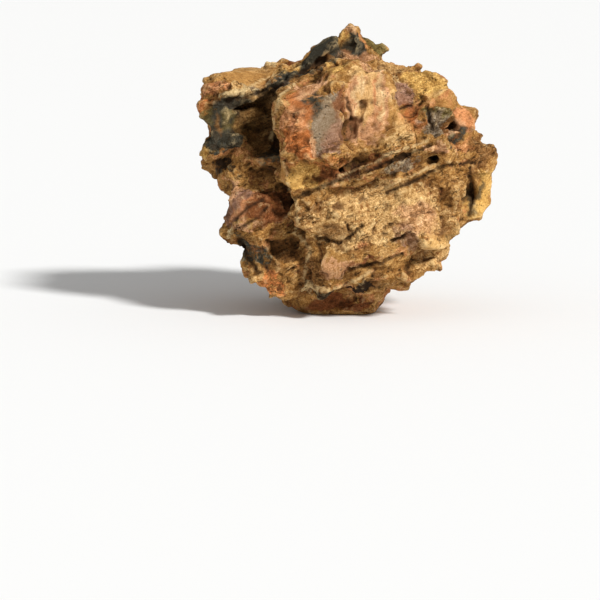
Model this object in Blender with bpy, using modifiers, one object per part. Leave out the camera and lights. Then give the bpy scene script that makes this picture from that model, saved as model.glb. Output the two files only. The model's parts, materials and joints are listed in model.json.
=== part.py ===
# Dragon stone for an aquarium: one weathered, clay-rich stone with tilted beds, modelled at its real size.
# Run it with: blender --background --python part.py
# Lengths are in metres and +Z is up. The face with the most relief looks along -Y.
# The origin is on the surface that the stone rests on, under the middle of its box.
import bisect
import math
import random

import bmesh
import bpy
from mathutils import Euler, Matrix, Vector, noise

MM = 0.001

# The real stone, as it stands
WIDTH = 151 * MM
HEIGHT = 144 * MM

# The beds rise to the right and lean back a little
BED_RISE = math.radians(20)
BED_LEAN = math.radians(6)
BED_NORMAL = Vector((-math.sin(BED_RISE), math.sin(BED_LEAN), math.cos(BED_RISE))).normalized()
THINNEST_BED = 5 * MM
THICKEST_BED = 13 * MM
BED_REACH = 4.6 * MM
BED_WAVE = 5 * MM
BED_WAVE_LENGTH = 45 * MM

# Weathering: broad lumps, flat chips where the rock has split, scallops along the beds, and round pits
LUMP_SIZE = 30 * MM
LUMP_HEIGHT = 1.8 * MM
CHIP_SIZE = 21 * MM
CHIP_SLOPE = 0.24
CHIP_LIMIT = 2.4 * MM
SCALLOP_SIZE = 12 * MM
SCALLOP_DEPTH = 1.0 * MM
BED_STRETCH = 1.7
PIT_SPACING = 19 * MM
PIT_RADIUS = 0.3
PIT_DEPTH = 4 * MM
WORN_AWAY = 1.0 * MM
SPIKE_WEAR = 0.5
SPIKE_ROUNDS = 2

# Where each pattern starts, so that no two share their cells, and what evens their sizes
BED_START = -100 * MM
BED_SHIFT = Vector((0, 0, 13.7))
PIT_SHIFT = Vector((5.3, 1.7, 2.9))
TILT_SHIFT = 9.1
NOISE_GAIN = 1.6
MEAN_CELL_DISTANCE = 0.45

# How finely the masses are fused and how many triangles the finished stone keeps
FUSE_VOXEL = 2.2 * MM
FINISH_VOXEL = 1.75 * MM
TRIANGLES = 9600
FOOT_HEIGHT = 3.6 * MM
FOOT_WEAR = 0.3
FOOT_FADE = 9 * MM
SEED = 7


def clear_scene():
    """Starts from an empty scene."""
    for obj in list(bpy.data.objects):
        bpy.data.objects.remove(obj)


def new_collection(name):
    """Adds a collection to the scene."""
    collection = bpy.data.collections.new(name)
    bpy.context.scene.collection.children.link(collection)
    return collection


def mass(name, at, half, turn=(0, 0, 0), squareness=4.0, taper=0.0):
    """A rounded block of rock, in millimetres and degrees. Squareness 2 is an ellipsoid and 8 nearly a box."""
    bpy.ops.mesh.primitive_ico_sphere_add(subdivisions=5, radius=1)
    block = bpy.context.object
    block.name = name
    for vertex in block.data.vertices:
        powers = [abs(c) ** squareness for c in vertex.co]
        vertex.co *= sum(powers) ** (-1 / squareness)
        narrowing = 1 - taper * (vertex.co.z + 1) / 2
        vertex.co.x *= narrowing
        vertex.co.y *= narrowing
    size = Matrix.Diagonal([side * MM for side in half] + [1])
    rotation = Euler([math.radians(angle) for angle in turn]).to_matrix().to_4x4()
    place = Matrix.Translation(Vector(at) * MM)
    block.data.transform(place @ rotation @ size)
    return block


def body_masses():
    """The bulk of the stone, which carries the masses on its faces."""
    return [
        mass("heart", at=(0, 6, 76), half=(56, 48, 40), turn=(0, -12, 0), squareness=3),
        mass("lower_heart", at=(0, 4, 42), half=(49, 42, 34), turn=(0, -16, 0), squareness=3),
        mass("keel", at=(-3, 0, 18), half=(25, 34, 19), turn=(0, -4, 0), squareness=4),
        mass("foot", at=(-2, 0, 8), half=(19, 30, 10), squareness=6),
    ]


def front_masses():
    """Blocks and ledges of the front face, named for where they are."""
    return [
        mass("boss", at=(-13, -42, 95), half=(19, 22, 21), turn=(10, -14, -14), squareness=5),
        mass("boss_chin", at=(-6, -40, 80), half=(17, 18, 8), turn=(-14, -22, -6), squareness=5),
        mass("brow", at=(7, -20, 111), half=(32, 28, 7.5), turn=(16, 0, 0), squareness=5),
        mass("drape", at=(15, -34, 94), half=(17, 20, 23), turn=(-8, -6, 8), squareness=4),
        mass("right_crown", at=(38, -18, 101), half=(14, 30, 15), turn=(0, 8, 6), squareness=3.6),
        mass("right_nub", at=(56, -18, 91), half=(12, 22, 7), turn=(0, 8, 10), squareness=5),
        mass("right_shoulder", at=(53, -12, 75), half=(19, 32, 8), turn=(0, -12, 8), squareness=5),
        mass("right_cheek", at=(59, -8, 59), half=(10, 26, 14), turn=(0, 4, 12), squareness=6),
        mass("middle_bed", at=(12, -42, 67), half=(42, 16, 5), turn=(-6, -20, 2), squareness=7),
        mass("lower_face", at=(20, -36, 47), half=(38, 22, 18), turn=(-8, -14, 3), squareness=8),
        mass("lower_corner", at=(35, -24, 31), half=(19, 26, 11), turn=(0, -42, 8), squareness=5),
        mass("lower_lip", at=(6, -34, 24), half=(26, 20, 11), turn=(-12, -10, 0), squareness=6),
        mass("corner_tooth", at=(-17, -48, 66), half=(9, 12, 10), turn=(0, -6, -8), squareness=7),
        mass("left_lobe", at=(-38.5, -22, 50), half=(15, 24, 14), turn=(0, -8, -18), squareness=5),
        mass("lobe_lip", at=(-38, -36, 40), half=(9, 12, 4.5), turn=(0, 26, -10), squareness=4),
        mass("left_foot", at=(-28, -18, 25), half=(12, 24, 18), turn=(0, -36, -10), squareness=5),
    ]


def left_masses():
    """The overhanging slab, the pillar and the hooked nose on the left."""
    return [
        mass("slab", at=(-42, 2, 110.5), half=(29, 36, 11), turn=(4, -10, 0), squareness=4),
        mass("slab_lip", at=(-42, -28, 107), half=(17, 10, 5), turn=(-10, -20, -6), squareness=5),
        mass("slab_tip", at=(-68, -10, 103), half=(5, 10, 5), turn=(0, -20, 0), squareness=2.6),
        mass("hollow_wall", at=(-44, 4, 90), half=(17, 18, 17), squareness=4),
        mass("pillar", at=(-58, -10, 91), half=(10, 25, 17), turn=(0, -4, -12), squareness=5),
        mass("nose", at=(-62, -14, 75), half=(12, 18, 6), turn=(0, 26, -6), squareness=3.4),
    ]


def back_masses():
    """Ledges of the hidden back, in the same beds as the front."""
    return [
        mass("back_upper", at=(-6, 34, 98), half=(40, 22, 15), turn=(-8, -16, 6), squareness=5),
        mass("back_middle", at=(12, 40, 74), half=(42, 20, 12), turn=(4, -20, -4), squareness=6),
        mass("back_lower", at=(-8, 34, 46), half=(37, 20, 16), turn=(10, -16, 6), squareness=5),
        mass("back_left", at=(-42, 24, 74), half=(19, 24, 16), turn=(0, -12, 10), squareness=5),
        mass("back_right", at=(44, 24, 54), half=(19, 24, 16), turn=(0, -18, -14), squareness=5),
    ]


def crest_masses():
    """The small broken crest on top."""
    return [
        mass("crest", at=(4, 4, 128), half=(14, 15, 19.5), turn=(0, -6, 20), squareness=5, taper=0.9),
        mass("crest_shoulder", at=(15, 6, 125), half=(9, 12, 5), turn=(0, 24, 0), squareness=4),
        mass("crest_root", at=(-12, 2, 123), half=(17, 16, 6), turn=(0, -33, 0), squareness=6),
    ]


def hollows():
    """What has weathered out of the masses: the deep hollow on the left, clefts between beds, and holes."""
    return [
        mass("deep_hollow", at=(-46, -46, 93), half=(11.5, 26, 14), turn=(6, -6, -26), squareness=6),
        mass("nose_hole", at=(-55, -38, 73), half=(7, 16, 3.6), turn=(0, 24, 0), squareness=2.8),
        mass("chin_hole", at=(-35, -48, 72), half=(5, 14, 4), turn=(0, -24, 0), squareness=2.8),
        mass("left_recess", at=(-30, -58, 38), half=(7, 20, 22), turn=(0, 4, -6), squareness=5),
        mass("right_notch", at=(53, -36, 98), half=(12, 24, 3), turn=(0, -14, 8), squareness=5),
        mass("main_cleft", at=(29, -56, 79), half=(16, 16, 2.4), turn=(-6, -24, 0), squareness=3),
        mass("cleft_mouth", at=(36, -48, 81), half=(8, 16, 4), turn=(-6, -24, 0), squareness=3),
        mass("low_cleft", at=(46, -52, 69), half=(26, 18, 1.6), turn=(-6, -17, 4), squareness=3),
        mass("tooth_hole", at=(-19, -58, 53), half=(6, 18, 4), turn=(0, -20, 0), squareness=3),
        mass("cheek_cleft", at=(60, -38, 57), half=(2.2, 18, 13), turn=(0, 6, 12), squareness=4),
        mass("lip_undercut", at=(11, -52, 12), half=(34, 18, 3.4), turn=(0, -12, 0), squareness=4),
        mass("foot_groove", at=(-40, -44, 27), half=(3.2, 16, 13), turn=(0, -34, 0), squareness=4),
        mass("boss_cleft", at=(4, -58, 98), half=(2.0, 12, 10), turn=(0, 14, 0), squareness=4),
        mass("boss_undercut", at=(-13, -70, 72), half=(17, 14, 1.8), turn=(0, -8, 0), squareness=3),
        mass("crown_cleft", at=(42, -50, 90), half=(2.4, 16, 8), turn=(0, 6, 0), squareness=4),
        mass("back_cleft", at=(6, 62, 87), half=(36, 16, 2.6), turn=(0, -18, 0), squareness=4),
        mass("back_pocket", at=(24, 60, 58), half=(10, 16, 6), turn=(0, -18, 0), squareness=3),
        mass("back_hole", at=(-26, 58, 62), half=(7, 14, 5), turn=(0, -18, 0), squareness=3),
    ]


def fuse(name, blocks, voxel):
    """Joins overlapping masses into one closed skin."""
    with bpy.context.temp_override(active_object=blocks[0], selected_editable_objects=blocks):
        bpy.ops.object.join()
    fused = blocks[0]
    fused.name = name
    return remeshed(fused, voxel)


def remeshed(obj, voxel):
    """Rebuilds the skin on an even grid, which also drops everything inside it."""
    modifier = obj.modifiers.new("even_skin", "REMESH")
    modifier.mode = "VOXEL"
    modifier.voxel_size = voxel
    return applied(obj)


def applied(obj):
    """Turns the modifiers of an object into plain mesh."""
    graph = bpy.context.evaluated_depsgraph_get()
    made = bpy.data.meshes.new_from_object(obj.evaluated_get(graph))
    obj.modifiers.clear()
    obj.data = made
    return obj


def carve(stone, cutters, collection):
    """Cuts the hollows out of the stone and keeps the cutters as hidden helpers."""
    for cutter in cutters:
        cutter.hide_render = True
        cutter.display_type = "WIRE"
        for old in list(cutter.users_collection):
            old.objects.unlink(cutter)
        collection.objects.link(cutter)
        cut = stone.modifiers.new(cutter.name, "BOOLEAN")
        cut.operation = "DIFFERENCE"
        cut.object = cutter
    return applied(stone)


def bed_tops():
    """Heights of the bedding planes along the bed normal, unevenly spaced."""
    dice = random.Random(SEED)
    tops = [BED_START]
    while tops[-1] < HEIGHT + WIDTH:
        tops.append(tops[-1] + dice.uniform(THINNEST_BED, THICKEST_BED))
    return tops


def bed_offset(point, tops):
    """How far the bed at this point stands out of the stone's side, or in."""
    wave = BED_WAVE * noise.noise(point / BED_WAVE_LENGTH)
    number = bisect.bisect(tops, point.dot(BED_NORMAL) + wave)
    return BED_REACH * NOISE_GAIN * noise.noise(point / LUMP_SIZE + BED_SHIFT * number)


def chip_relief(point):
    """A flat face for each chip, tilted its own way, so that neighbours meet in an edge."""
    centre = noise.voronoi(point / CHIP_SIZE)[1][0]
    tilt = noise.cell_vector(centre * TILT_SHIFT) - Vector((0.5, 0.5, 0.5))
    relief = CHIP_SIZE * CHIP_SLOPE * 2 * tilt.dot(point / CHIP_SIZE - centre)
    return max(-CHIP_LIMIT, min(CHIP_LIMIT, relief))


def weathering(point):
    """Relief along the normal from lumps, chips, scallops and pits."""
    lumps = LUMP_HEIGHT * noise.fractal(point / LUMP_SIZE, 1.0, 2.0, 3)
    along = point + BED_NORMAL * point.dot(BED_NORMAL) * (BED_STRETCH - 1)
    chips = chip_relief(along)
    scallops = SCALLOP_DEPTH * (noise.voronoi(along / SCALLOP_SIZE)[0][0] - MEAN_CELL_DISTANCE)
    pit = noise.voronoi(point / PIT_SPACING + PIT_SHIFT)[0][0]
    pits = PIT_DEPTH * min(0.0, pit / PIT_RADIUS - 1)
    return lumps + chips + scallops + pits - WORN_AWAY


def wear_near_foot(height):
    """The share of the weathering that the stone keeps at a height, least where it stands."""
    return FOOT_WEAR + (1 - FOOT_WEAR) * min(1.0, max(0.0, height / FOOT_FADE))


def weather(stone):
    """Steps the sides along the beds and roughens the whole skin."""
    tops = bed_tops()
    shape = bmesh.new()
    shape.from_mesh(stone.data)
    shape.normal_update()
    moves = []
    for vertex in shape.verts:
        sideways = vertex.normal - BED_NORMAL * vertex.normal.dot(BED_NORMAL)
        step = sideways * bed_offset(vertex.co, tops)
        relief = vertex.normal * weathering(vertex.co)
        moves.append((step + relief) * wear_near_foot(vertex.co.z))
    for vertex, move in zip(shape.verts, moves):
        vertex.co += move
    shape.to_mesh(stone.data)
    shape.free()


def keep_largest_piece(shape):
    """Drops loose crumbs, so that one skin is left."""
    unseen = set(shape.verts)
    pieces = []
    while unseen:
        piece = set()
        edge = [unseen.pop()]
        while edge:
            vertex = edge.pop()
            piece.add(vertex)
            for link in vertex.link_edges:
                other = link.other_vert(vertex)
                if other in unseen:
                    unseen.remove(other)
                    edge.append(other)
        pieces.append(piece)
    largest = max(pieces, key=len)
    loose = [vertex for piece in pieces if piece is not largest for vertex in piece]
    bmesh.ops.delete(shape, geom=loose, context="VERTS")


def flatten_foot(stone):
    """Cuts the underside flat, so that the stone rests without rocking."""
    shape = bmesh.new()
    shape.from_mesh(stone.data)
    lowest = min(vertex.co.z for vertex in shape.verts)
    cut = bmesh.ops.bisect_plane(
        shape,
        geom=shape.verts[:] + shape.edges[:] + shape.faces[:],
        plane_co=(0, 0, lowest + FOOT_HEIGHT),
        plane_no=(0, 0, -1),
        clear_outer=True,
    )
    rim = [item for item in cut["geom_cut"] if isinstance(item, bmesh.types.BMEdge)]
    bmesh.ops.holes_fill(shape, edges=rim)
    keep_largest_piece(shape)
    bmesh.ops.triangulate(shape, faces=shape.faces[:])
    bmesh.ops.recalc_face_normals(shape, faces=shape.faces[:])
    shape.to_mesh(stone.data)
    shape.free()


def thin_out(stone):
    """Wears off the thinnest spikes, then keeps the sharp edges and spends few triangles on the rest."""
    softer = stone.modifiers.new("worn_spikes", "SMOOTH")
    softer.factor = SPIKE_WEAR
    softer.iterations = SPIKE_ROUNDS
    thinner = stone.modifiers.new("fewer_triangles", "DECIMATE")
    thinner.ratio = TRIANGLES / (2 * len(stone.data.polygons))
    return applied(stone)


def stand_on_origin(stone):
    """Moves the stone so that its box stands centred on the origin."""
    corners = [Vector(corner) for corner in stone.bound_box]
    low = Vector(min(corner[axis] for corner in corners) for axis in range(3))
    high = Vector(max(corner[axis] for corner in corners) for axis in range(3))
    stone.data.transform(Matrix.Translation((-(low.x + high.x) / 2, -(low.y + high.y) / 2, -low.z)))


def stone_material():
    """Ochre to rust-brown clay stone, matt."""
    material = bpy.data.materials.new("ochre_clay_stone")
    material.use_nodes = True
    shader = material.node_tree.nodes["Principled BSDF"]
    shader.inputs["Base Color"].default_value = (0.42, 0.25, 0.12, 1)
    shader.inputs["Roughness"].default_value = 0.9
    shader.inputs["Metallic"].default_value = 0
    return material


def main():
    clear_scene()
    noise.seed_set(SEED)
    part = new_collection("dragon_stone")
    helpers = new_collection("cutters")
    blocks = body_masses() + front_masses() + left_masses() + back_masses() + crest_masses()
    stone = fuse("dragon_stone", blocks, FUSE_VOXEL)
    carve(stone, hollows(), helpers)
    remeshed(stone, FINISH_VOXEL)
    weather(stone)
    remeshed(stone, FINISH_VOXEL)
    thin_out(stone)
    flatten_foot(stone)
    stand_on_origin(stone)
    stone.data.materials.clear()
    stone.data.materials.append(stone_material())
    for old in list(stone.users_collection):
        old.objects.unlink(stone)
    part.objects.link(stone)


main()
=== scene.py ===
import json
import math
import random

import bpy
import numpy as np
from mathutils import Euler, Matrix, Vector, noise
from mathutils.bvhtree import BVHTree
from mathutils.kdtree import KDTree

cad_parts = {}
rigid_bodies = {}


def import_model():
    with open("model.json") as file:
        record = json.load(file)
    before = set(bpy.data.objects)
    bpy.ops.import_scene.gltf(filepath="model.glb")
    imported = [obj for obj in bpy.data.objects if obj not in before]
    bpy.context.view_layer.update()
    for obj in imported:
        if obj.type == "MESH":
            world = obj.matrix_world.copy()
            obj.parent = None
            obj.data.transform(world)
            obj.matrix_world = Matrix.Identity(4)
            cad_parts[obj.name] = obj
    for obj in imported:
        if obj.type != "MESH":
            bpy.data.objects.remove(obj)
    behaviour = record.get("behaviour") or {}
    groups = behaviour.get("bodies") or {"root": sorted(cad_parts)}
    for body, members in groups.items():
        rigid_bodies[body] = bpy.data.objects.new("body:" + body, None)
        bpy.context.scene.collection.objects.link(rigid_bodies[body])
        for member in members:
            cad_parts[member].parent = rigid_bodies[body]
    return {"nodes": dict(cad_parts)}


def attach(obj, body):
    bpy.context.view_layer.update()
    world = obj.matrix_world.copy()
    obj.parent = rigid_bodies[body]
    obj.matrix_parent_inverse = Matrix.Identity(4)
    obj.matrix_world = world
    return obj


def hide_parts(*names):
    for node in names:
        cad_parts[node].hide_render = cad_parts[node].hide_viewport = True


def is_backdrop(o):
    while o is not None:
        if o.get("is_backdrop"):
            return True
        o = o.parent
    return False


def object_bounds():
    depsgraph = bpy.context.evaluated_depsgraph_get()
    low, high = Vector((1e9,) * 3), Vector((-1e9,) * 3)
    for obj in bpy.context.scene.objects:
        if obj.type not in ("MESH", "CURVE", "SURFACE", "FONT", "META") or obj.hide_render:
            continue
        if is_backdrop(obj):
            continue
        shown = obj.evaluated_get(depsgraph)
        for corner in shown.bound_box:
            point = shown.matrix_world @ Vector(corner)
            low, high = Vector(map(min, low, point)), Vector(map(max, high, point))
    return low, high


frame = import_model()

cad_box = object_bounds()
MM = 0.001

# The camera. It stands a little above the stone and far back, as for a shop's product picture, so the
# stone's lines are nearly parallel. At the stone one pixel of the 600 pixel frame is half a millimetre.
CAMERA_DISTANCE = 1200 * MM
CAMERA_RISE = math.radians(8)
FRAME_WIDTH = 300 * MM
SENSOR_WIDTH = 36
AIM = Vector((-21.75, 0, 3.7)) * MM

towards_camera = Vector((0, -math.cos(CAMERA_RISE), math.sin(CAMERA_RISE)))
camera_up = Vector((0, math.sin(CAMERA_RISE), math.cos(CAMERA_RISE)))
camera_spot = AIM + towards_camera * CAMERA_DISTANCE
bpy.ops.object.camera_add(location=camera_spot, rotation=(math.pi / 2 - CAMERA_RISE, 0, 0))
camera = bpy.context.object
camera.data.sensor_width = SENSOR_WIDTH
camera.data.lens = SENSOR_WIDTH * CAMERA_DISTANCE / FRAME_WIDTH
bpy.context.scene.camera = camera

# The stone. Dragon stone is a clay-rich siltstone laid down in thin beds, tilted here, then washed and
# weathered: flakes split off flat, soft beds washed back into clefts, and round pits left where lumps of
# clay fell out. It is one piece and stands on its broken foot. The beds rise to the viewer's right.
BED_RISE = math.radians(20)
BED_LEAN = math.radians(6)
BED_NORMAL = np.array((-math.sin(BED_RISE), math.sin(BED_LEAN), math.cos(BED_RISE)))
BED_NORMAL /= np.linalg.norm(BED_NORMAL)
SEED = 24
noise.seed_set(SEED)
WELD = 0.01 * MM

bpy.ops.object.select_all(action="DESELECT")
stone = bpy.data.objects.new("stone", frame["nodes"]["dragon_stone"].data.copy())
bpy.context.scene.collection.objects.link(stone)
stone.select_set(True)
bpy.context.view_layer.objects.active = stone
bpy.ops.object.mode_set(mode="EDIT")
bpy.ops.mesh.select_all(action="SELECT")
bpy.ops.mesh.remove_doubles(threshold=WELD)
bpy.ops.object.mode_set(mode="OBJECT")


def apply_modifier(kind, **settings):
    """Adds one modifier to the stone and applies it."""
    modifier = stone.modifiers.new(kind.lower(), kind)
    for name, value in settings.items():
        setattr(modifier, name, value)
    bpy.ops.object.modifier_apply(modifier=modifier.name)


def rub_down(times, **settings):
    """Rubs the stone's ridges down: each time, every point goes half way to the mean of its neighbours."""
    apply_modifier("SMOOTH", factor=0.5, iterations=times, **settings)


# An even skin first, with the CAD's flat triangles rubbed down to soft ridges
FIRST_SKIN = 1.0 * MM
FIRST_RUBS = 3
apply_modifier("REMESH", mode="VOXEL", voxel_size=FIRST_SKIN)
rub_down(FIRST_RUBS)


def read_skin():
    """The stone's points, in millimetres, and its normals."""
    count = len(stone.data.vertices)
    places = np.empty(count * 3)
    stone.data.vertices.foreach_get("co", places)
    normals = np.empty(count * 3)
    stone.data.vertex_normals.foreach_get("vector", normals)
    return places.reshape(-1, 3) / MM, normals.reshape(-1, 3)


def write_skin(places):
    """Puts points in millimetres back on the stone."""
    stone.data.vertices.foreach_set("co", (places * MM).ravel())
    stone.data.update()


def new_skin(spacing):
    """Gives the stone a new even skin, and clears away what that leaves loose."""
    apply_modifier("REMESH", mode="VOXEL", voxel_size=spacing)
    places, _ = read_skin()
    bpy.ops.object.mode_set(mode="EDIT")
    bpy.ops.mesh.select_all(action="DESELECT")
    bpy.ops.object.mode_set(mode="OBJECT")
    stone.data.vertices[int(places[:, 2].argmin())].select = True
    bpy.ops.object.mode_set(mode="EDIT")
    bpy.ops.mesh.select_linked()
    bpy.ops.mesh.select_all(action="INVERT")
    bpy.ops.mesh.delete(type="VERT")
    bpy.ops.object.mode_set(mode="OBJECT")


def cloud(places, size, octaves=2, shift=0.0):
    """Soft noise from about -1 to 1 whose lumps are a size in millimetres."""
    spots = (places / size + shift).tolist()
    return np.array([noise.fractal(spot, 1.0, 2.0, octaves) for spot in spots])


def smoothstep(values, low, high):
    """0 below low, 1 above high, and a smooth rise between."""
    share = np.clip((values - low) / (high - low), 0, 1)
    return share * share * (3 - 2 * share)


FOOT_FADE = 6.0


def above_foot(places):
    """0 on the flat foot, which nothing wears, and 1 from a little above it."""
    return smoothstep(places[:, 2], 0, FOOT_FADE)


# What the camera sees of the stone is placed by two lengths in millimetres: across from its middle and
# up from its foot, both as seen from the camera. The point is where that line of sight meets the stone's
# skin, as it was when skin was last made.
skin = BVHTree.FromObject(stone, bpy.context.evaluated_depsgraph_get())


def seen(across, up):
    """The point of the stone's front, and its normal, at a place in the camera's view."""
    target = AIM + Vector((across * MM - AIM.x, 0, 0)) + camera_up * (up * MM - AIM.z)
    spot, normal, _, _ = skin.ray_cast(camera_spot, (target - camera_spot).normalized())
    if spot is None:
        spot, normal, _, _ = skin.find_nearest(target)
    return np.array(spot) / MM, np.array(normal)


def facing(turn, lift):
    """A direction: turn degrees to the viewer's right of the camera, and lift degrees up."""
    turn, lift = math.radians(turn), math.radians(lift)
    return np.array((math.sin(turn) * math.cos(lift), -math.cos(turn) * math.cos(lift), math.sin(lift)))


SPARED = (1.5, 3)
RIM_FROM = 0.7


def split_off(places, ragged, centre, direction, reach, depth, most, fill=0):
    """Splits a flake off down to a plane that lies depth below its centre. No point goes back by more than
    most or comes out by more than fill, and what stands SPARED times most above the plane is left alone."""
    away = places - centre
    distance = np.linalg.norm(away, axis=1) * ragged
    near = distance < reach
    above = away[near] @ direction + depth
    part_of_it = 1 - smoothstep(above, SPARED[0] * most, SPARED[1] * most)
    fade = 1 - smoothstep(distance[near], RIM_FROM * reach, reach)
    places[near] -= np.outer(np.clip(above, -fill, most) * part_of_it * fade, direction)


# What the front doesn't fix is drawn by chance, the same each run. Each place drawn has dice of its own, so
# a change in one doesn't move the others
dice = random.Random(SEED)
FAR = 300 * MM


def chance_spots(count):
    """Points that lines drawn by chance from all round meet, each with its normal and its own dice."""
    tree = BVHTree.FromObject(stone, bpy.context.evaluated_depsgraph_get())
    first = dice.randrange(10**6)
    for number in range(count):
        own_dice = random.Random(first + number)
        direction = Vector([own_dice.gauss(0, 1) for _ in range(3)]).normalized()
        target = Vector([own_dice.uniform(low, high) for low, high in zip(*cad_box)])
        spot, normal, _, _ = tree.ray_cast(target - direction * FAR, direction)
        if spot is not None:
            yield np.array(spot) / MM, np.array(normal), own_dice


def tipped(normal, most, own_dice):
    """A direction near the normal, with each of its three numbers changed by chance."""
    direction = normal + np.array([own_dice.uniform(-most, most) for _ in range(3)])
    return direction / np.linalg.norm(direction)


# Clay still packed in the clefts leaves them narrow, and the top is fuller with it. Each lump is placed
# from a point of the front, across and up. Then come how far the lump's middle lies from there, its half
# sizes in millimetres, and how many degrees it rises to the right
PACKED_CLAY = {
    "tooth_recess": ((-8, 46), (-10, 4, 0), (9, 8, 9), 0),
    "low_cleft": ((3, 59), (0, 4, 5), (15, 9, 5), 15),
    "main_cleft": ((33, 63), (0, 3, 11.5), (19, 9, 5.2), 22),
    "left_lobe": ((-44, 48), (-4, 4, -3), (14, 12, 14), 0),
    "lobe_root": ((-44, 48), (9, 7, -3), (13, 9, 15), 0),
    "left_foot": ((-36, 28), (-5, 5, -5), (11, 12, 12), 0),
    "crest_right": ((10, 127), (2, 4, 1.5), (12, 9, 6.5), -24),
    "crest_left": ((-12, 125), (-1, 4, 2), (13, 8, 5), 38),
    "crest_tip": ((2, 131), (1.5, 2, 4), (5, 5, 6.5), 0),
    "drape_top": ((15, 108), (0, 19, 4), (28, 20, 9), -10),
    "crown_top": ((41, 109), (0, 10, 2), (15, 13, 8), -28),
    "cleft_end": ((38, 71), (0, -4, 0), (8, 13, 7), 15),
    "lobe_neck": ((-52, 64), (0, 3, 0), (11, 13, 9), 0),
    "lobe_recess": ((-29, 51), (0, 5, 0), (6, 9, 12), 0),
    "low_left": ((-25, 15), (0, 4, 0), (9, 10, 12), 0),
    "cheek": ((68, 60), (1, 5, -2), (5.5, 8, 15), 0),
    "nub": ((60, 93), (1, 3, 3), (9, 8, 5.5), -20),
    "drape_edge": ((2, 99), (0, 4, 0), (7, 9, 11), 0),
    "shoulder_block": ((52, 73), (-4, 3, 11), (7, 8, 9), 10),
    "shoulder_back": ((52, 73), (-5, 8, 20), (8, 8, 9), 0),
}
for at, shift, size, rise in PACKED_CLAY.values():
    bpy.ops.object.select_all(action="DESELECT")
    bpy.ops.mesh.primitive_ico_sphere_add(subdivisions=4, radius=MM)
    lump = bpy.context.object
    lump.location = (seen(*at)[0] + shift) * MM
    lump.scale = size
    lump.rotation_euler = (0, -math.radians(rise), 0)
    stone.select_set(True)
    bpy.context.view_layer.objects.active = stone
    bpy.ops.object.join()
PACKED_RUBS = 2
apply_modifier("REMESH", mode="VOXEL", voxel_size=FIRST_SKIN)
rub_down(PACKED_RUBS)
skin = BVHTree.FromObject(stone, bpy.context.evaluated_depsgraph_get())

# The broad flat faces of the front: across, up, turn and lift in degrees, then reach and depth
FACES = {
    "crest_left": (-8, 131, -48, 38, 15, 0.6),
    "crest_front": (0, 134, -14, 15, 7, 0.6),
    "crest_dark": (7, 131, 34, 8, 9, 1.6),
    "crest_right": (14, 130, 55, 34, 10, 0.8),
    "slab_top": (-50, 116, -12, 50, 24, 2.2),
    "slab_front": (-46, 111, 12, 5, 10, 1.5),
    "boss_front": (-13, 91, 6, 4, 17, 2.6),
    "boss_left": (-32, 94, -50, 0, 14, 1.6),
    "boss_top": (-22, 110, -12, 48, 14, 1.6),
    "brow_step": (-3, 118, 0, 50, 10, 1.8),
    "crown_block": (49, 106, 14, 8, 9, 1.6),
    "crown_round": (36, 113, 10, 45, 14, 1.4),
    "nub": (59, 94, 25, 20, 9, 1.2),
    "shoulder": (66, 78, 30, 10, 12, 1.4),
    "cheek": (69, 54, 24, 0, 12, 0.6),
    "lower_left_face": (-10, 44, -22, 2, 12, 1.8),
    "lower_face": (13, 51, 4, 14, 17, 2.0),
    "lower_right_face": (44, 47, 36, 2, 14, 1.8),
    "lip_block": (-4, 23, -12, -4, 13, 1.8),
    "low_right_block": (26, 26, 18, -16, 14, 1.8),
    "low_knob": (47, 31, 34, 2, 9, 1.2),
    "bottom_left": (-32, 24, -30, -10, 13, 1.6),
    "tooth": (-27, 64, -15, 4, 7, 1.2),
    "pillar": (-63, 90, -22, 2, 12, 1.6),
    "drape": (15, 103, 8, 10, 17, 1.8),
    "drape_panel": (31, 103, 14, 8, 9, 0.8),
    "lobe": (-47, 48, -18, 4, 15, 2.2),
    "lobe_left": (-57, 44, -62, 0, 13, 2.0),
    "left_foot": (-46, 26, -40, -14, 12, 2.2),
}
faces = []
for across, up, turn, lift, reach, depth in FACES.values():
    faces.append((seen(across, up)[0], facing(turn, lift), reach, depth))

# The sides and back have such faces too, in places drawn by chance where the skin turns away from the
# camera, behind the front and clear of the foot
HIDDEN_FACES = 60
HIDDEN_FACE_REACH = (11, 24)
HIDDEN_FACE_DEPTH = 0.12
HIDDEN_FACE_TIP = 0.35
TURNED_AWAY = -0.2
BEHIND_FRONT = -12
CLEAR_OF_FOOT = 12
for spot, normal, own_dice in chance_spots(HIDDEN_FACES):
    if normal[1] > TURNED_AWAY and spot[1] > BEHIND_FRONT and spot[2] > CLEAR_OF_FOOT:
        direction = tipped(normal, HIDDEN_FACE_TIP, own_dice)
        reach = own_dice.uniform(*HIDDEN_FACE_REACH)
        faces.append((spot, direction, reach, HIDDEN_FACE_DEPTH * reach))

RIM_RAGGEDNESS = 0.3
RIM_WAVE = 7


def flake_raggedness(places):
    """What distances from a flake's centre are multiplied by, so that its rim isn't round."""
    return 1 + RIM_RAGGEDNESS * cloud(places, RIM_WAVE)


MOST_OFF_A_FACE = 4
places, _ = read_skin()
ragged = flake_raggedness(places)
for centre, direction, reach, depth in faces:
    split_off(places, ragged, centre, direction, reach, depth, MOST_OFF_A_FACE)
write_skin(places)

# Beds of unlike thickness, each washed back or left standing, with a soft seam between two of them
BED_WAVE = 3.0
BED_WAVE_SIZE = 45
DEEPEST_BED = -120


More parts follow.
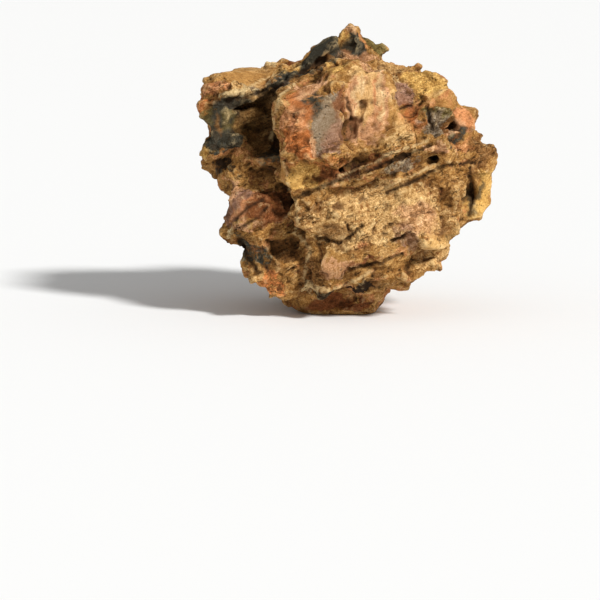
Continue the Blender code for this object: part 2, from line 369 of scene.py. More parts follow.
def bed_relief(places, normals, thinnest, thickest, reach, patch, seam, seed):
    """How far beds move the stone's side, in millimetres, as a vector for every point. A bed moves by up to
    reach, not alike along its length but in patches, and the seam between two beds lies deeper."""
    bed_dice = random.Random(seed)
    tops = [DEEPEST_BED]
    while tops[-1] < -2 * DEEPEST_BED:
        tops.append(tops[-1] + bed_dice.uniform(thinnest, thickest))
    tops = np.array(tops)
    height = places @ BED_NORMAL + BED_WAVE * cloud(places, BED_WAVE_SIZE)
    number = np.searchsorted(tops, height)
    own_noise = np.outer(number * 7.3 + seed, (0.37, 0.71, 1.0))
    out = reach * np.array([noise.noise(spot) for spot in (places / patch + own_noise).tolist()])
    to_seam = np.minimum(height - tops[number - 1], tops[number] - height)
    out -= seam * (1 - smoothstep(to_seam, 0, thinnest / 3))
    sideways = normals - np.outer(normals @ BED_NORMAL, BED_NORMAL)
    return sideways * out[:, None]


BEDS = {"thinnest": 3.5, "thickest": 9.0, "reach": 1.9, "patch": 24, "seam": 0.6, "seed": SEED}
FINE_SKIN = 0.7 * MM
places, normals = read_skin()
places += above_foot(places)[:, None] * bed_relief(places, normals, **BEDS)
write_skin(places)
new_skin(FINE_SKIN)

# Broken all over into small flat faces, each tipped its own way and longer along the beds than across them.
# For two sizes of face in millimetres: the size, how steeply they tip, how far they move at most, and a
# shift that keeps the two sizes apart
BREAKS = ((15, 0.3, 1.2, 0.0), (6, 0.25, 0.4, 7.7))
FACE_SHAPE = np.array((1.5, 1.5, 0.8))
BED_TURN = np.array(Vector(BED_NORMAL).rotation_difference(Vector((0, 0, 1))).to_matrix())


def broken_faces(places, size, slope, most, shift):
    """How far each point moves out or in, in millimetres, so that the skin breaks into flat faces."""
    cells = (places @ BED_TURN.T) / (size * FACE_SHAPE) + shift
    out = np.empty(len(places))
    for index, cell in enumerate(cells.tolist()):
        middle = noise.voronoi(cell)[1][0]
        tip = noise.noise_vector(middle * 5.7)
        step = 0.6 * most * noise.noise(middle * 3.3)
        out[index] = (Vector(cell) - middle) @ tip * size * slope * 2 + step
    return np.clip(out, -most, most)


places, normals = read_skin()
broken = sum(broken_faces(places, *numbers) for numbers in BREAKS)
places += normals * (broken * above_foot(places))[:, None]
write_skin(places)

# Faces that broke clean, or that wet clay ran over, are smoother than the rest: across, up and radius
SMOOTH = [(-10, 93, 13), (3, 100, 11), (14, 100, 20), (69, 53, 12), (-61, 92, 8)]
SMOOTH += [(-10, 130, 10), (6, 132, 8), (-27, 64, 7), (-48, 117, 18), (-50, 50, 9)]
SMOOTH += [(50, 104, 8), (60, 94, 9), (-22, 104, 8), (46, 32, 7), (-6, 20, 8)]


def smooth_places(places):
    """Which points lie on a smooth face: 1 on it, 0 off it, and drawn by chance behind."""
    smooth = smoothstep(cloud(places, 18, 1, 9.3), 0.15, 0.35) * smoothstep(places[:, 1], -10, 10)
    for across, up, radius in SMOOTH:
        distance = np.linalg.norm(places - seen(across, up)[0], axis=1)
        smooth = np.maximum(smooth, 1 - smoothstep(distance, 0.7 * radius, 1.15 * radius))
    return smooth


# Flakes gone all over, each with less reach on the smooth faces. The large ones go first, and the small
# ones go from a new skin: how many, their least and greatest reach, and the most that goes
LARGE_CHIPS = (450, 8, 15, 2.4)
SMALL_CHIPS = (1500, 2.5, 8, 1.6)
CHIP_TIP = 0.4
CHIP_DEPTH = 0.11


def chip(count, least, greatest, most):
    """Splits flakes off in places drawn by chance."""
    places, _ = read_skin()
    ragged = flake_raggedness(places) + smooth_places(places)
    for spot, normal, own_dice in chance_spots(count):
        direction = tipped(normal, CHIP_TIP, own_dice)
        reach = own_dice.uniform(least, greatest)
        if spot[2] > FOOT_FADE:
            split_off(places, ragged, spot, direction, reach, CHIP_DEPTH * reach, most)
    write_skin(places)


chip(*LARGE_CHIPS)
new_skin(FINE_SKIN)
chip(*SMALL_CHIPS)

# Thin laminae, plainest where a soft bed is open to the side: across, up and radius
LAMINATED = [(-45, 92, 24), (-36, 52, 22), (-31, 28, 24), (22, 74, 26), (62, 76, 20)]
LAMINATED += [(-56, 88, 16), (-44, 112, 16)]
LAMINATED_ANYWHERE = 0.25
LAMINATED_BEHIND = 0.5
LAMINAE = {"thinnest": 1.3, "thickest": 3.0, "reach": 1.0, "patch": 11, "seam": 0.35, "seed": SEED + 1}
places, normals = read_skin()
laminated = LAMINATED_ANYWHERE * np.ones(len(places))
for across, up, radius in LAMINATED:
    centre, _ = seen(across, up)
    distance = np.linalg.norm(places - centre, axis=1)
    laminated = np.maximum(laminated, 1 - smoothstep(distance, 0.5 * radius, radius))
laminated = np.maximum(laminated, LAMINATED_BEHIND * smoothstep(places[:, 1], -10, 20))
thin = bed_relief(places, normals, **LAMINAE)
places += thin * (laminated * above_foot(places))[:, None]
write_skin(places)

# The broad faces once more, now flat across the ledges. A face's level is the height that LEVEL in 100 of
# its points lie under; what sticks out goes back to it, and what is low comes nearer
LEVEL = 60
MOST_LEVELLED = 2.5
MOST_FILLED = 0.8
places, normals = read_skin()
skin = BVHTree.FromObject(stone, bpy.context.evaluated_depsgraph_get())
ragged = flake_raggedness(places)
for centre, direction, reach, _ in faces:
    away = places - centre
    facing_out = (np.linalg.norm(away, axis=1) < 0.8 * reach) & (normals @ direction > 0.5)
    level = np.percentile(away[facing_out] @ direction, LEVEL) if facing_out.any() else 0
    split_off(places, ragged, centre, direction, reach, -level, MOST_LEVELLED, MOST_FILLED)
write_skin(places)

# The smooth faces are rubbed down, in five steps from their rim to their middle
CALM_RUBS = 10
CALM_STEPS = 5
smooth = smooth_places(places)
calm = stone.vertex_groups.new(name="calm")
for step in range(1, CALM_STEPS + 1):
    calm.add(np.nonzero(smooth > step / (CALM_STEPS + 1))[0].tolist(), step / CALM_STEPS, "REPLACE")
rub_down(CALM_RUBS, vertex_group="calm")
stone.vertex_groups.clear()

# Cracks, grooves, and the sharp edges of ledges. Each has its places across and up, its width, and how
# far it stands out, or goes in where that is below 0
LINES = {
    "long_crack": ([(-14, 35), (-9, 33.5), (-2, 32), (3, 35.5), (9.5, 41)], 0.9, -2.0),
    "crack_branch": ([(0.5, 42), (2, 39.5), (4, 37)], 0.6, -1.0),
    "right_crack": ([(24, 33), (28, 34.5), (33.5, 38)], 0.9, -1.8),
    "slab_lip": ([(-60, 106), (-50, 108.5), (-41, 113.5), (-30, 118)], 1.3, 0.61),
    "brow_groove": ([(-36, 108), (-27, 114), (-17, 120), (-9, 124)], 2.0, -2.0),
    "slab_under": ([(-57, 104), (-48, 105.5), (-38, 109.5)], 1.8, -1.4),
    "boss_edge": ([(-36, 84), (-35, 96), (-32, 106), (-24, 112)], 1.4, 0.44),
    "boss_groove": ([(1.5, 105), (2.5, 100), (4.5, 94)], 1.1, -1.2),
    "tooth_edge": ([(-30, 73), (-27, 58)], 1.1, 0.44),
    "face_edge": ([(-26, 55), (-22, 50), (-24, 38), (-17, 29), (-20, 14)], 1.3, 0.66),
    "lip_edge": ([(-20, 12), (-7, 8), (5, 13), (14, 18)], 1.3, 0.66),
    "second_bed": ([(21, 60), (33, 65), (46, 72)], 1.0, 0.5),
    "second_bed_under": ([(22, 57.5), (34, 62.5), (49, 70.5), (66, 72.5)], 1.2, -1.4),
    "cleft_roof": ([(-2, 66), (12, 71), (24, 77), (42, 83)], 1.1, 0.5),
    "cleft": ([(-24, 55), (-12, 60), (4, 66), (14, 69), (26, 74), (43, 81)], 1.5, -2.4),
    "cheek_groove": ([(63, 70), (64, 58), (63, 46)], 1.0, -1.4),
    "crown_groove": ([(42, 101), (43, 95), (44, 89)], 1.2, -1.8),
    "panel_slit": ([(27, 98.5), (34, 101)], 1.0, -1.6),
    "left_groove": ([(-52, 33), (-47, 24), (-42, 16)], 1.6, -1.2),
    "lobe_swirl": ([(-54, 44), (-48, 50), (-40, 54)], 1.4, -1.2),
    "lobe_swirl_low": ([(-54, 39), (-46, 43), (-38, 50)], 1.2, -1.0),
    "bed_crack_low": ([(4, 20), (18, 22), (30, 27)], 1.2, -1.5),
}
LINE_STEP = 0.4
LINE_WOBBLE = 1.3
WOBBLE_SIZE = 3


def along_line(places, stops, width):
    """How near each point lies to a line of the front: 1 on it, 0 past its width."""
    spots = []
    for (across, up), (next_across, next_up) in zip(stops, stops[1:]):
        steps = max(2, int(math.dist((across, up), (next_across, next_up)) / LINE_STEP))
        for step in range(steps):
            share = step / steps
            here = (across + (next_across - across) * share, up + (next_up - up) * share)
            wobble = LINE_WOBBLE * noise.noise((here[0] / WOBBLE_SIZE, here[1] / WOBBLE_SIZE, width))
            spots.append(seen(here[0] + wobble, here[1] + wobble)[0])
    tree = KDTree(len(spots))
    for number, spot in enumerate(spots):
        tree.insert(spot, number)
    tree.balance()
    middle = np.mean(spots, axis=0)
    reach = max(np.linalg.norm(spot - middle) for spot in spots) + width
    nearness = np.zeros(len(places))
    for index in np.nonzero(np.linalg.norm(places - middle, axis=1) < reach)[0]:
        nearness[index] = max(0, 1 - tree.find(places[index])[2] / width)
    return nearness


LINE_SHOULDER = 1.6
places, normals = read_skin()
for stops, width, height in LINES.values():
    profile = smoothstep(along_line(places, stops, LINE_SHOULDER * width), 0, 1)
    places += normals * (height * profile)[:, None]
write_skin(places)

# Pits where lumps of clay fell out, in clusters, each a small bowl with a sharp and ragged rim
PITS = 1000
PIT_RADIUS = 0.85
LARGEST_PIT = 2.4
PIT_DEPTH = (0.3, 0.7)
CLUSTER_SIZE = 14
CLUSTERED = 0.05
places, _ = read_skin()
skin_tree = KDTree(len(places))
for number, spot in enumerate(places):
    skin_tree.insert(spot, number)
skin_tree.balance()
clusters = cloud(places, CLUSTER_SIZE, 2, 3.1)
pit_raggedness = 1.2 + 0.8 * cloud(places, 2.2)
for spot, normal, own_dice in chance_spots(PITS):
    index = skin_tree.find(spot)[1]
    if clusters[index] < CLUSTERED or smooth[index] > 0.5 or spot[2] < FOOT_FADE:
        continue
    radius = min(LARGEST_PIT, PIT_RADIUS * math.exp(own_dice.gauss(0.15, 0.45)))
    depth = radius * own_dice.uniform(*PIT_DEPTH)
    for _, number, distance in skin_tree.find_range(spot, radius):
        bowl = max(0, 1 - (distance / radius * pit_raggedness[number]) ** 2)
        places[number] -= normal * depth * bowl
write_skin(places)

# Soft upright streaks where wet clay once ran down the front, and a grain over the whole stone
STREAKED = (14, 100)
STREAKED_RADIUS = 17
STREAK_SIZE = np.array((2.6, 8, 15))
STREAK_HEIGHT = 1.1
places, normals = read_skin()
distance = np.linalg.norm(places - seen(*STREAKED)[0], axis=1)
streaked = 1 - smoothstep(distance, 0.6 * STREAKED_RADIUS, 1.4 * STREAKED_RADIUS)
grain = 0.4 * cloud(places, 5, 3, 1.7) + 0.4 * cloud(places, 2.0, 2, 5.2)
streaks = STREAK_HEIGHT * np.array([noise.noise(spot) for spot in (places / STREAK_SIZE).tolist()])
relief = grain * (1 - 0.7 * smooth) + streaks * streaked
places += normals * (relief * above_foot(places))[:, None]

# It stands on the CAD's flat foot, and stays within 1 in 100 of the CAD's box on the other five sides
SPARE = 0.01
low, high = np.array(cad_box[0]) / MM, np.array(cad_box[1]) / MM
spare = SPARE * (high - low)
places = np.clip(places, low - spare * (1, 1, 0), high + spare)
write_skin(places)

# The back has fewer triangles than the front: BACK_SHARE is how many of its points go
MOST_TRIANGLES = 192000
BACK_SHARE = 0.45
BACK_TURN = 0.1
BACK_FROM = -15
back = stone.vertex_groups.new(name="back")
at_back = np.nonzero((normals[:, 1] > BACK_TURN) & (places[:, 1] > BACK_FROM))[0]
back.add(at_back.tolist(), 1, "REPLACE")
thinned = 1 - BACK_SHARE * len(at_back) / len(places)
apply_modifier("DECIMATE", ratio=thinned, vertex_group="back")
triangles = sum(len(face.vertices) - 2 for face in stone.data.polygons)
apply_modifier("DECIMATE", ratio=min(1, MOST_TRIANGLES / triangles))
stone.vertex_groups.clear()

# What the finish follows, kept on the skin: ridge and nick are how sharply a point stands out or goes in,
# sunk is how far it lies in a hollow, and shelter is how much of the sky its surroundings hide
edges = np.empty(len(stone.data.edges) * 2, dtype=np.int32)
stone.data.edges.foreach_get("vertices", edges)
ends = np.concatenate((edges.reshape(-1, 2), edges.reshape(-1, 2)[:, ::-1]))
links = np.bincount(ends[:, 0], minlength=len(stone.data.vertices))


def neighbours(values):
    """The mean of each point's neighbours."""
    if values.ndim == 1:
        return np.bincount(ends[:, 0], weights=values[ends[:, 1]], minlength=len(links)) / links
    return np.stack([neighbours(values[:, axis]) for axis in range(values.shape[1])], axis=1)


def keep(name, values):
    """Keeps one number for each point of the stone, for its material to read."""
    layer = stone.data.attributes.new(name, "FLOAT", "POINT")
    layer.data.foreach_set("value", values.astype(np.float32))


NEAR_ROUNDS = 3
FAR_ROUNDS = 40
places, normals = read_skin()
softer = places.copy()
heights = {}
for round_number in range(1, FAR_ROUNDS + 1):
    softer = neighbours(softer)
    if round_number in (NEAR_ROUNDS, FAR_ROUNDS):
        heights[round_number] = ((places - softer) * normals).sum(axis=1)
keep("ridge", smoothstep(neighbours(heights[NEAR_ROUNDS]), 0.05, 0.5))
keep("nick", smoothstep(-heights[NEAR_ROUNDS], 0.05, 0.6))
keep("sunk", smoothstep(-heights[FAR_ROUNDS], 0.0, 2.4))

SKY_RAYS = 14
SKY_REACH = 30 * MM
OFF_SKIN = 0.3
SHELTER_ROUNDS = 3
skin = BVHTree.FromObject(stone, bpy.context.evaluated_depsgraph_get())
spiral = math.pi * (3 - math.sqrt(5))
rays = []
for number in range(SKY_RAYS):
    lift = (number + 0.5) / SKY_RAYS
    ring = math.sqrt(1 - lift * lift)
    rays.append(Vector((ring * math.cos(number * spiral), ring * math.sin(number * spiral), lift)))
shelter = np.zeros(len(places))
for index, (spot, normal) in enumerate(zip((places * MM).tolist(), normals.tolist())):
    normal = Vector(normal)
    start = Vector(spot) + normal * OFF_SKIN * MM
    turn = normal.to_track_quat("Z", "Y").to_matrix()
    hidden = 0
    for ray in rays:
        if skin.ray_cast(start, turn @ ray, SKY_REACH)[0]:
            hidden += 1
    shelter[index] = hidden / SKY_RAYS
for _ in range(SHELTER_ROUNDS):
    shelter = neighbours(shelter)
keep("shelter", shelter)
keep("smooth", smooth_places(places))

# Painted shade down the cracks and grooves and under ledges, partly dark deposit, and painted highlight
# along the sharp edges, partly pale worn clay
crack_shade_and_mud, ledge_highlight_and_wear = np.zeros(len(places)), np.zeros(len(places))
for stops, width, height in LINES.values():
    nearness = smoothstep(along_line(places, stops, width), 0, 0.8)
    if height < 0:
        crack_shade_and_mud = np.maximum(crack_shade_and_mud, nearness)
    else:
        ledge_highlight_and_wear = np.maximum(ledge_highlight_and_wear, nearness)
keep("crack_shade_and_mud", crack_shade_and_mud)
keep("ledge_highlight_and_wear", ledge_highlight_and_wear)
SHARP_EDGE = math.radians(45)
bpy.ops.object.shade_smooth_by_angle(angle=SHARP_EDGE)

# Its colours, as the dry stone has them: light through the clay, dark where a hard skin or mud is left.
# The darkest and red brown also serve as painted shade, and cream as painted highlight on edges
EARTHS = {
    "ochre": (0.43, 0.215, 0.06),
    "pale_ochre": (0.6, 0.35, 0.13),
    "yellow_ochre": (0.6, 0.335, 0.09),
    "brown": (0.235, 0.105, 0.03),
    "red_brown_and_shade": (0.20, 0.065, 0.02),
    "rust": (0.47, 0.15, 0.04),
    "orange_clay": (0.57, 0.235, 0.09),
    "pink_clay": (0.57, 0.29, 0.135),
    "mauve": (0.29, 0.145, 0.085),
    "grey_silt": (0.25, 0.175, 0.105),
    "olive": (0.15, 0.105, 0.03),
    "dark_skin_and_shade": (0.045, 0.04, 0.027),
    "mud_and_shade": (0.028, 0.014, 0.006),
    "cream_and_highlight": (0.68, 0.48, 0.23),
}
# Patches of the front: across, up, half the length and half the width in millimetres, how many degrees the
# length rises to the right, the colour, and how thickly it covers
PATCHES = [
    (-46, 117, 27, 9, 12, "ochre", 0.8),
    (-60, 111, 8, 4, 30, "orange_clay", 0.63),
    (-30, 119, 8, 3, 8, "yellow_ochre", 0.57),
    (-36, 111, 13, 3.5, 22, "grey_silt", 0.92),
    (-32, 111.5, 8, 3, 36, "dark_skin_and_shade", 0.97),
    (-23, 117.5, 8, 3, 36, "dark_skin_and_shade", 0.97),
    (-14, 124, 9, 3.5, 38, "dark_skin_and_shade", 0.97),
    (-8, 130, 15, 9, 42, "dark_skin_and_shade", 0.97),
    (1.5, 134, 6, 3.5, 70, "yellow_ochre", 0.8),
    (6, 130, 9, 5.5, 85, "dark_skin_and_shade", 0.97),
    (3.5, 139.5, 3.5, 2.5, 60, "pink_clay", 0.92),
    (17, 131.5, 7, 3.5, -20, "olive", 0.92),
    (9, 124.5, 12, 2.5, -4, "pink_clay", 0.8),
    (-10, 123, 9, 3, 20, "brown", 0.8),
    # A pale line along the slab's lip, partly painted highlight
    (-50, 108.5, 10, 1.6, 24, "cream_and_highlight", 0.92),
    (-60, 92, 16, 10, 80, "dark_skin_and_shade", 0.97),
    (-58, 96, 9, 2, 75, "olive", 0.6),
    (-63, 86, 8, 1.5, 60, "brown", 0.8),
    (-69, 96, 12, 5, 80, "olive", 0.6),
    (-66, 82, 8, 6, 60, "dark_skin_and_shade", 0.9),
    (-46, 94, 14, 11, 80, "ochre", 0.8),
    (-50, 86, 8, 5, 30, "yellow_ochre", 0.6),
    (-73, 103, 4, 3, 60, "pink_clay", 0.97),
    (-72, 76, 6, 5, 40, "yellow_ochre", 0.97),
    # Painted shade, near-black, in the hole below the jut on the left
    (-58, 72, 9, 4, -10, "mud_and_shade", 0.7),
    (-36, 76, 8, 6, 20, "dark_skin_and_shade", 0.7),
    (-24, 98, 13, 5.5, 75, "orange_clay", 0.75),
    (-21, 84, 9, 5, -10, "rust", 0.86),
    (-12, 111, 8, 4, 45, "pink_clay", 0.97),
    (-26, 104, 5, 4, 60, "rust", 0.57),
    (-8, 92, 14, 8.5, 68, "grey_silt", 0.97),
    (-14, 99, 7, 4.5, 40, "dark_skin_and_shade", 0.7),
    (-3, 85, 9, 6, 60, "mauve", 0.75),
    (-16, 88, 10, 1.8, -52, "pink_clay", 0.8),
    (-18, 96, 9, 2, 80, "rust", 0.7),
    (-4, 120, 6.5, 4, 10, "yellow_ochre", 0.97),
    (-1, 101, 9, 3.6, 85, "red_brown_and_shade", 0.8),
    # Painted shade, near-black, down the groove at the right of the boss
    (2.6, 99, 7, 2.4, 80, "mud_and_shade", 0.86),
    (14, 100, 24, 11, 82, "pink_clay", 0.97),
    (8, 118, 9, 4, -15, "pale_ochre", 0.92),
    (5, 106, 13, 1.5, 84, "cream_and_highlight", 0.65),
    (11, 103, 20, 1.8, 80, "pale_ochre", 0.85),
    (17, 101, 16, 1.4, 86, "rust", 0.5),
    (20, 105, 17, 1.6, 84, "cream_and_highlight", 0.6),
    (26, 112, 11, 1.5, 78, "cream_and_highlight", 0.5),
    (30, 105, 8, 5.5, 80, "mauve", 0.97),
    (33, 94, 8, 6, 70, "rust", 0.57),
    (30, 86, 9, 5, 20, "pale_ochre", 0.69),
    (43, 112, 14, 9, -25, "yellow_ochre", 0.97),
    (52, 111, 5, 4, -50, "orange_clay", 0.8),
    (40, 120, 9, 3, -12, "pink_clay", 0.8),
    (50, 100, 8, 3, 0, "olive", 0.97),
    (48, 107, 6, 3, 15, "pale_ochre", 0.8),
    (61, 95, 8, 5.5, -20, "orange_clay", 0.7),
    (56, 91, 4, 3, 0, "pink_clay", 0.8),
    (47, 91, 6, 5, 60, "grey_silt", 0.92),
    (56, 84, 6, 3.5, 20, "dark_skin_and_shade", 0.69),
    (46, 80, 7, 4, 10, "pink_clay", 0.86),
    (68, 80, 10, 8, 60, "brown", 0.69),
    (58, 74, 14, 2.5, 14, "ochre", 0.8),
    (30, 72, 12, 4, 26, "grey_silt", 0.8),
    (-12, 71, 17, 5, 8, "rust", 0.52),
    (2, 65, 26, 3, 18, "red_brown_and_shade", 0.69),
    (16, 47, 36, 15, 12, "pale_ochre", 0.75),
    (38, 46, 9, 7, 30, "pink_clay", 0.69),
    (-4, 38, 11, 5, 0, "brown", 0.63),
    (49, 31, 8, 6.5, 30, "yellow_ochre", 0.86),
    (50, 33, 20, 12, 30, "pale_ochre", 0.7),
    (33, 33, 7, 5, 0, "mauve", 0.57),
    (69, 56, 12, 5.5, 80, "yellow_ochre", 0.97),
    # Painted shade, near-black, down the groove on the cheek's left
    (62.5, 56, 11, 2.2, 84, "dark_skin_and_shade", 0.8),
    (-26, 64, 9, 4.5, 84, "yellow_ochre", 0.97),
    (-36, 52, 14, 9, 50, "red_brown_and_shade", 0.86),
    (-54, 51, 11, 8, 70, "mauve", 0.8),
    (-50, 47, 11, 2.2, 35, "orange_clay", 0.75),
    (-52, 41, 9, 1.8, 25, "pink_clay", 0.8),
    (-55, 56, 6, 2, 50, "pink_clay", 0.7),
    (-43, 53, 9, 3.5, 40, "red_brown_and_shade", 0.9),
    (-57, 37, 5, 4, 60, "cream_and_highlight", 0.69),
    (-30, 29, 11, 8, -30, "brown", 0.69),
    # Painted shade: the dark band low on the left
    (-47, 26, 12, 4, -52, "dark_skin_and_shade", 0.6),
    (-34, 11, 9, 7, -30, "rust", 0.57),
    (-4, 18, 14, 6.5, 8, "pink_clay", 0.69),
    (-17, 12, 5, 3, 10, "cream_and_highlight", 0.92),
    # Painted shade along the foot under the lip, partly red-brown mud: this strip and the two near-black
    # patches
    (-2, 3, 20, 4.5, 5, "red_brown_and_shade", 0.92),
    (-9, 4.5, 11, 2, 3, "mud_and_shade", 0.92),
    (9, 8.5, 9, 2, 22, "mud_and_shade", 0.92),
    (11, 23, 8, 2, 8, "red_brown_and_shade", 0.8),
    (28, 22, 16, 5, 16, "ochre", 0.8),
]
PATCH_DEPTH = 12
PATCH_EDGE = (0.78, 1.1)
PUSHES = ((16, 6.0), (5, 3.6), (2.2, 1.3))


def pushed(places):
    """The places pushed about by noise, so that what is drawn with them gets a ragged edge."""
    moved = places.copy()
    for size, push in PUSHES:
        moved += push * np.array([noise.noise_vector(spot) for spot in (places / size).tolist()])
    return moved


pushed_places = pushed(places)
paint = np.zeros((len(places), 4))


def stain(centre, turn, size, earth, cover):
    """Lays a colour over the paint within a ragged ellipsoid, and adds to what the paint covers."""
    away = (pushed_places - pushed(centre[None])) @ np.array(turn.to_matrix()) / size
    mask = cover * (1 - smoothstep(np.linalg.norm(away, axis=1), *PATCH_EDGE))[:, None]
    covered = 1 - (1 - paint[:, 3:]) * (1 - mask)
    mixed = paint[:, :3] * paint[:, 3:] * (1 - mask) + np.array(EARTHS[earth]) * mask
    paint[:, :3] = mixed / np.maximum(covered, 0.001)
    paint[:, 3:] = covered


# The sides, back and underside are stained alike, in places drawn by chance where the skin turns away from
# the camera and lies behind the front, and the patches of the front go over them
HIDDEN_PATCHES = 130
HIDDEN_PATCH_TURN = -0.1
HIDDEN_PATCH_FROM = -25
HIDDEN_PATCH_LENGTH = (6, 20)
HIDDEN_PATCH_COVER = (0.65, 0.95)
HIDDEN_EARTHS = ["pink_clay", "yellow_ochre", "rust", "grey_silt", "brown", "dark_skin_and_shade"]
HIDDEN_EARTHS += ["pale_ochre", "red_brown_and_shade", "orange_clay", "ochre", "olive", "cream_and_highlight"]
for spot, normal, own_dice in chance_spots(HIDDEN_PATCHES):
    if normal[1] < HIDDEN_PATCH_TURN or spot[1] < HIDDEN_PATCH_FROM:
        continue
    length = own_dice.uniform(*HIDDEN_PATCH_LENGTH)
    size = (length, length * own_dice.uniform(0.5, 1), length * own_dice.uniform(0.25, 0.6))
    turn = Euler((0, -BED_RISE + own_dice.uniform(-0.3, 0.3), own_dice.uniform(0, math.pi)))
    earth = own_dice.choice(HIDDEN_EARTHS)
    stain(spot, turn, size, earth, own_dice.uniform(*HIDDEN_PATCH_COVER))
for across, up, length, width, rise, earth, cover in PATCHES:
    size = (length, max(PATCH_DEPTH, length), width)
    stain(seen(across, up)[0], Euler((0, -math.radians(rise), 0)), size, earth, cover)
paint_layer = stone.data.attributes.new("paint", "FLOAT_COLOR", "POINT")
paint_layer.data.foreach_set("color", paint.astype(np.float32).ravel())

# Its material: cloudy earths with the patches over them, then cracks, streaks, painted shade with some mud,
# painted highlights on edges, and grain
rock = bpy.data.materials.new("weathered_siltstone")
rock.use_nodes = True
tree = rock.node_tree
shader = tree.nodes["Principled BSDF"]


def add(kind, inputs=None, **settings):
    """Adds a shader node, with its settings and with values or links on its inputs."""
    made = tree.nodes.new("ShaderNode" + kind)
    for name, value in settings.items():
        setattr(made, name, value)
    for socket, value in (inputs or {}).items():
        if isinstance(value, bpy.types.NodeSocket):
            tree.links.new(value, made.inputs[socket])
        else:
            made.inputs[socket].default_value = value
    return made


def mix(factor, below, above, blend="MIX"):
    """One colour over another."""
    made = add("Mix", {0: factor, 6: below, 7: above}, data_type="RGBA", blend_type=blend)
    return made.outputs[2]


def ramp(value, low, high):
    """A mask that rises from 0 at low to 1 at high."""
    made = add("MapRange", {0: value, 1: low, 2: high}, interpolation_type="SMOOTHSTEP")
    return made.outputs[0]


def math_node(operation, *values):
    """One sum on one or more numbers."""
    return add("Math", dict(enumerate(values)), operation=operation).outputs[0]


def tinted(ground, mask, share, earth, blend="MIX"):
    """The ground with a colour over it where the mask says, and as much of it as share says."""
    return mix(math_node("MULTIPLY", mask, share), ground, (*EARTHS[earth], 1), blend)


def varied(value, least, greatest):
    """Turns noise of the usual range into a number from least to greatest."""
    return add("MapRange", {0: value, 1: 0.3, 2: 0.7, 3: least, 4: greatest}).outputs[0]


def rock_noise(size, detail, where, roughness=0.6, scale=(1, 1, 1), swirl=0.0):
    """Noise with lumps of a size in millimetres, 0 to 1, and the same as three numbers."""
    spread = add("VectorMath", {0: where, 1: scale}, operation="MULTIPLY").outputs[0]
    inputs = {"Vector": spread, "Scale": 1 / (size * MM), "Detail": detail}
    made = add("TexNoise", {**inputs, "Roughness": roughness, "Distortion": swirl})
    return made.outputs["Fac"], made.outputs["Color"]


def warped(where, size, reach):
    """The place pushed about by noise, so that what is drawn with it gets a ragged edge."""
    colour = rock_noise(size, 3, where)[1]
    push = add("VectorMath", {0: colour, 1: (0.5, 0.5, 0.5)}, operation="SUBTRACT")
    push = add("VectorMath", {0: push.outputs[0], "Scale": reach * MM}, operation="SCALE")
    return add("VectorMath", {0: where, 1: push.outputs[0]}, operation="ADD").outputs[0]


def kept(name):
    """One of the numbers kept on the skin."""
    return add("Attribute", attribute_name=name).outputs["Fac"]


INTO_BEDS = (-BED_LEAN, BED_RISE, 0)
place = add("TexCoord").outputs["Object"]
ragged_place = warped(warped(place, 14, 14), 3.5, 3.5)
bedded = add("Mapping", {0: ragged_place, 2: INTO_BEDS}).outputs[0]
fine_bedded = add("Mapping", {0: warped(place, 6, 2.5), 2: INTO_BEDS}).outputs[0]

# The ground colour runs from brown through ochre to pale clay, in clouds that follow the beds
clouds = rock_noise(22, 4, bedded, 0.6, (1, 1, 1.8), 0.8)[0]
ground = mix(ramp(clouds, 0.36, 0.52), (*EARTHS["brown"], 1), (*EARTHS["ochre"], 1))
ground = mix(ramp(clouds, 0.54, 0.7), ground, (*EARTHS["pale_ochre"], 1))
blush = rock_noise(15, 3, warped(place, 20, 20), 0.6, swirl=1.2)[0]
ground = tinted(ground, ramp(blush, 0.54, 0.66), 0.75, "orange_clay")

# The patches go over it, with their edges frayed by the mottling
mottle = rock_noise(2.6, 5, ragged_place, 0.7)[0]
painted = add("Attribute", attribute_name="paint")
fray = varied(mottle, -0.45, 0.45)
cover = ramp(math_node("ADD", painted.outputs["Alpha"], fray), 0.2, 0.75)
ground = mix(cover, ground, painted.outputs["Color"])

# Hair cracks, most of them along the beds and none on the smooth faces: the size of their mesh, their width
# and how much finer the mesh is across the beds
HAIR_CRACKS = ((9, 0.011, (0.7, 0.7, 1.6)), (4.5, 0.015, (0.6, 0.6, 2.0)))
cracks = []
for size, width, shape in HAIR_CRACKS:
    wave = math_node("SUBTRACT", rock_noise(size, 2, fine_bedded, 0.5, shape)[0], 0.5)
    cracks.append(ramp(math_node("ABSOLUTE", wave), width, 0.0))
crack_place = ramp(rock_noise(11, 2, place)[0], 0.48, 0.62)
crack_place = math_node("SUBTRACT", crack_place, kept("smooth"))
crack_place = ramp(crack_place, 0.0, 1.0)
crack_mask = math_node("MULTIPLY", math_node("MAXIMUM", *cracks), crack_place)

# Thin streaks along the beds, mottling and grain make it lighter and darker, less so on the smooth faces.
# Where it is darker it is redder too, by these powers for red, green and blue
TONE_POWERS = (1, 1.25, 1.6)
streak_tone = varied(rock_noise(5, 4, fine_bedded, 0.65, (0.5, 0.5, 4), 0.5)[0], 0.7, 1.25)
mottle_tone = varied(mottle, 0.5, 1.5)
grain_tone = varied(rock_noise(0.7, 2, place, 0.6)[0], 0.6, 1.4)
tone = math_node("MULTIPLY", math_node("MULTIPLY", streak_tone, mottle_tone), grain_tone)
rough = math_node("MULTIPLY_ADD", kept("smooth"), -0.45, 1.0)
tone = math_node("POWER", tone, rough)
tones = [math_node("POWER", tone, power) for power in TONE_POWERS]
tone_vector = add("CombineXYZ", dict(enumerate(tones))).outputs[0]
ground = add("VectorMath", {0: ground, 1: tone_vector}, operation="MULTIPLY").outputs[0]

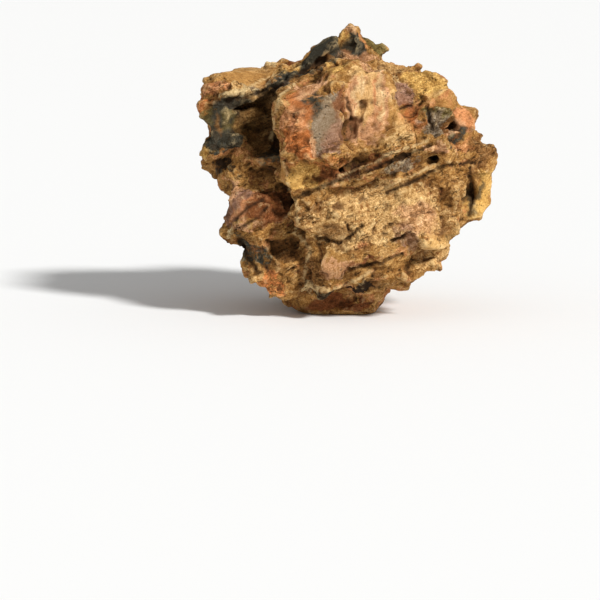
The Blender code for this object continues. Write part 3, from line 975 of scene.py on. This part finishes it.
# Edges are pale, partly with worn clay and partly with painted highlight; hollows, creases and cracks get
# painted shade, partly dark mud; and pin holes are nearly black
ridge_highlight_and_wear_mask = math_node("MULTIPLY", kept("ridge"), ramp(mottle, 0.4, 0.6))
ledge_highlight_and_wear_mask = math_node("MULTIPLY", kept("ledge_highlight_and_wear"), ramp(mottle, 0.36, 0.55))
pin_holes = add("TexVoronoi", {"Vector": ragged_place, "Scale": 1 / (1.9 * MM)}).outputs["Distance"]
pin_hole_place = ramp(rock_noise(7, 2, place)[0], 0.5, 0.62)
pin_hole_mask = math_node("MULTIPLY", ramp(pin_holes, 0.28, 0.14), pin_hole_place)
dark_lines = math_node("MAXIMUM", pin_hole_mask, crack_mask)
# Painted highlight on the sharp ridges, partly pale worn clay
ground = tinted(ground, ridge_highlight_and_wear_mask, 0.55, "cream_and_highlight")
# Painted shade, partly mud: near-black where the surroundings hide much of the sky
ground = tinted(ground, ramp(kept("shelter"), 0.45, 0.9), 0.8, "mud_and_shade")
# Painted shade in small creases and dents, partly mud
ground = tinted(ground, kept("nick"), 0.75, "mud_and_shade")
# Painted shade in the deeper hollows, darkening them toward red brown
ground = tinted(ground, kept("sunk"), 0.45, "red_brown_and_shade", "DARKEN")
# Painted highlight along the ledges' sharp edges, partly pale worn clay
ground = tinted(ground, ledge_highlight_and_wear_mask, 0.75, "cream_and_highlight")
# Painted shade down the cracks, grooves and under the ledges, partly dark deposit
ground = tinted(ground, kept("crack_shade_and_mud"), 0.8, "mud_and_shade")
ground = tinted(ground, dark_lines, 0.65, "mud_and_shade")
tree.links.new(ground, shader.inputs["Base Color"])
tree.links.new(varied(mottle, 0.95, 0.72), shader.inputs["Roughness"])
shader.inputs["Specular IOR Level"].default_value = 0.1

# Grain too fine for the mesh: sand, the edges of laminae, hair cracks and pin holes
sand = rock_noise(0.9, 4, place, 0.7)[0]
lamina = rock_noise(3, 3, fine_bedded, 0.6, (0.4, 0.4, 4))[0]
height = math_node("MULTIPLY_ADD", lamina, 0.8, sand)
height = math_node("MULTIPLY_ADD", dark_lines, -1.2, height)
height = math_node("MULTIPLY", height, rough)
bump = add("Bump", {"Strength": 0.9, "Distance": 1.0 * MM, "Height": height})
tree.links.new(bump.outputs[0], shader.inputs["Normal"])
stone.data.materials.clear()
stone.data.materials.append(rock)
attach(stone, "root")
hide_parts("dragon_stone")

# The floor is a plain pale board, far wider than the view, so that it fills the frame behind the stone
FLOOR_SIZE = 60
PALE_BOARD = (0.91, 0.91, 0.9, 1)
bpy.ops.object.select_all(action="DESELECT")
bpy.ops.mesh.primitive_plane_add(size=FLOOR_SIZE)
floor = bpy.context.object
floor.name = "floor"
board = bpy.data.materials.new("pale_board")
board.use_nodes = True
board_shader = board.node_tree.nodes["Principled BSDF"]
board_shader.inputs["Base Color"].default_value = PALE_BOARD
board_shader.inputs["Roughness"].default_value = 0.8
floor.data.materials.append(board)
floor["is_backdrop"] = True

# Light: a soft key from the upper right, and the pale studio all round
KEY_STRENGTH = 3.8
KEY_SOFTNESS = math.radians(9)
KEY_FROM = (math.radians(53), 0, math.radians(44))
SKY_STRENGTH = 0.38
bpy.ops.object.light_add(type="SUN", rotation=KEY_FROM)
key = bpy.context.object
key.data.energy = KEY_STRENGTH
key.data.angle = KEY_SOFTNESS
studio = bpy.data.worlds.new("studio")
studio.use_nodes = True
sky = studio.node_tree.nodes["Background"]
sky.inputs["Color"].default_value = (1, 1, 1, 1)
sky.inputs["Strength"].default_value = SKY_STRENGTH
bpy.context.scene.world = studio
bpy.context.scene.view_settings.view_transform = "Standard"

looks_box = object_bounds()
boxes = {"cad": cad_box, "looks": looks_box}
{name: [list(corner) for corner in box] for name, box in boxes.items()}
